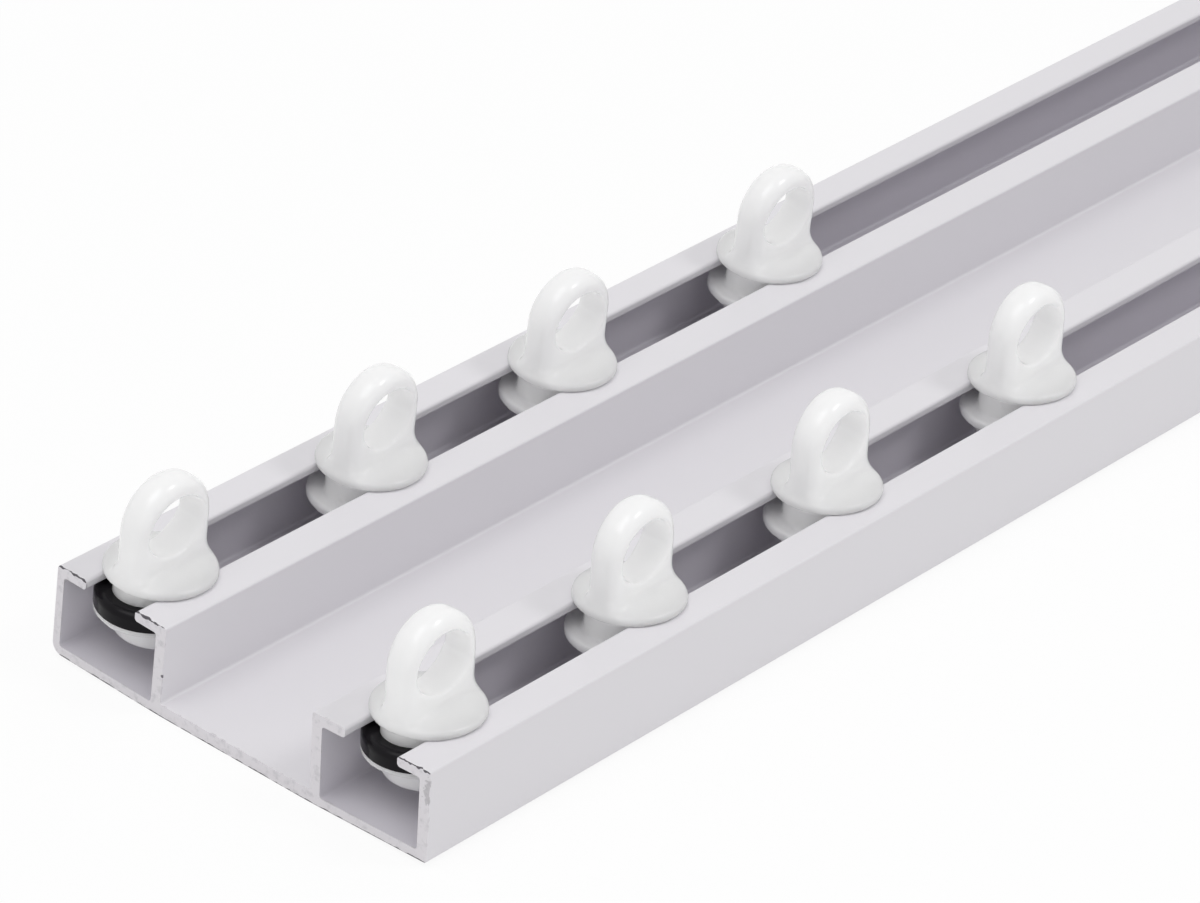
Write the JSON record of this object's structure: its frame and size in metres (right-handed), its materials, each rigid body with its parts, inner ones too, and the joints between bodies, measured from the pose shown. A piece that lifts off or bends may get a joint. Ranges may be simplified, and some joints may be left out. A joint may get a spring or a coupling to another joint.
{
  "type": "curtain track",
  "caption": "Slim double curtain track: an extruded profile with a slotted channel along each edge of a flat web, and eyelet gliders that slide in both channels, the end ones with oval grips.",
  "frame": {"origin": "middle of the flat back of the web, half-way along the track", "axes": "+Y along the track, +Z out of the slots, +X across from the left to the right channel"},
  "size_m": [0.0595, 0.3, 0.0258],
  "materials": {
    "powder_coat": "satin",
    "nylon": "semi-gloss, milky",
    "grip_rubber": "gloss"
  },
  "bodies": {
    "track": {"track_profile": "powder_coat"},
    "left_glider_1": {"left_glider_1": "nylon", "left_grip_ring": "grip_rubber"},
    "left_glider_2": {"left_glider_2": "nylon"},
    "left_glider_3": {"left_glider_3": "nylon"},
    "left_glider_4": {"left_glider_4": "nylon"},
    "right_glider_1": {"right_glider_1": "nylon", "right_grip_ring": "grip_rubber"},
    "right_glider_2": {"right_glider_2": "nylon"},
    "right_glider_3": {"right_glider_3": "nylon"},
    "right_glider_4": {"right_glider_4": "nylon"}
  },
  "joints": [
    {"name": "left_glider_1_slide", "type": "slide", "parent": "track", "child": "left_glider_1", "axis": [0, 1, 0], "range_m": [-0.0001, 0.0099]},
    {"name": "left_glider_2_slide", "type": "slide", "parent": "track", "child": "left_glider_2", "axis": [0, 1, 0], "range_m": [-0.0099, 0.00929]},
    {"name": "left_glider_3_slide", "type": "slide", "parent": "track", "child": "left_glider_3", "axis": [0, 1, 0], "range_m": [-0.00929, 0.01205]},
    {"name": "left_glider_4_slide", "type": "slide", "parent": "track", "child": "left_glider_4", "axis": [0, 1, 0], "range_m": [-0.01205, 0.1709]},
    {"name": "right_glider_1_slide", "type": "slide", "parent": "track", "child": "right_glider_1", "axis": [0, 1, 0], "range_m": [-0.0015, 0.00929]},
    {"name": "right_glider_2_slide", "type": "slide", "parent": "track", "child": "right_glider_2", "axis": [0, 1, 0], "range_m": [-0.00929, 0.01015]},
    {"name": "right_glider_3_slide", "type": "slide", "parent": "track", "child": "right_glider_3", "axis": [0, 1, 0], "range_m": [-0.01015, 0.01119]},
    {"name": "right_glider_4_slide", "type": "slide", "parent": "track", "child": "right_glider_4", "axis": [0, 1, 0], "range_m": [-0.01119, 0.1707]}
  ]
}
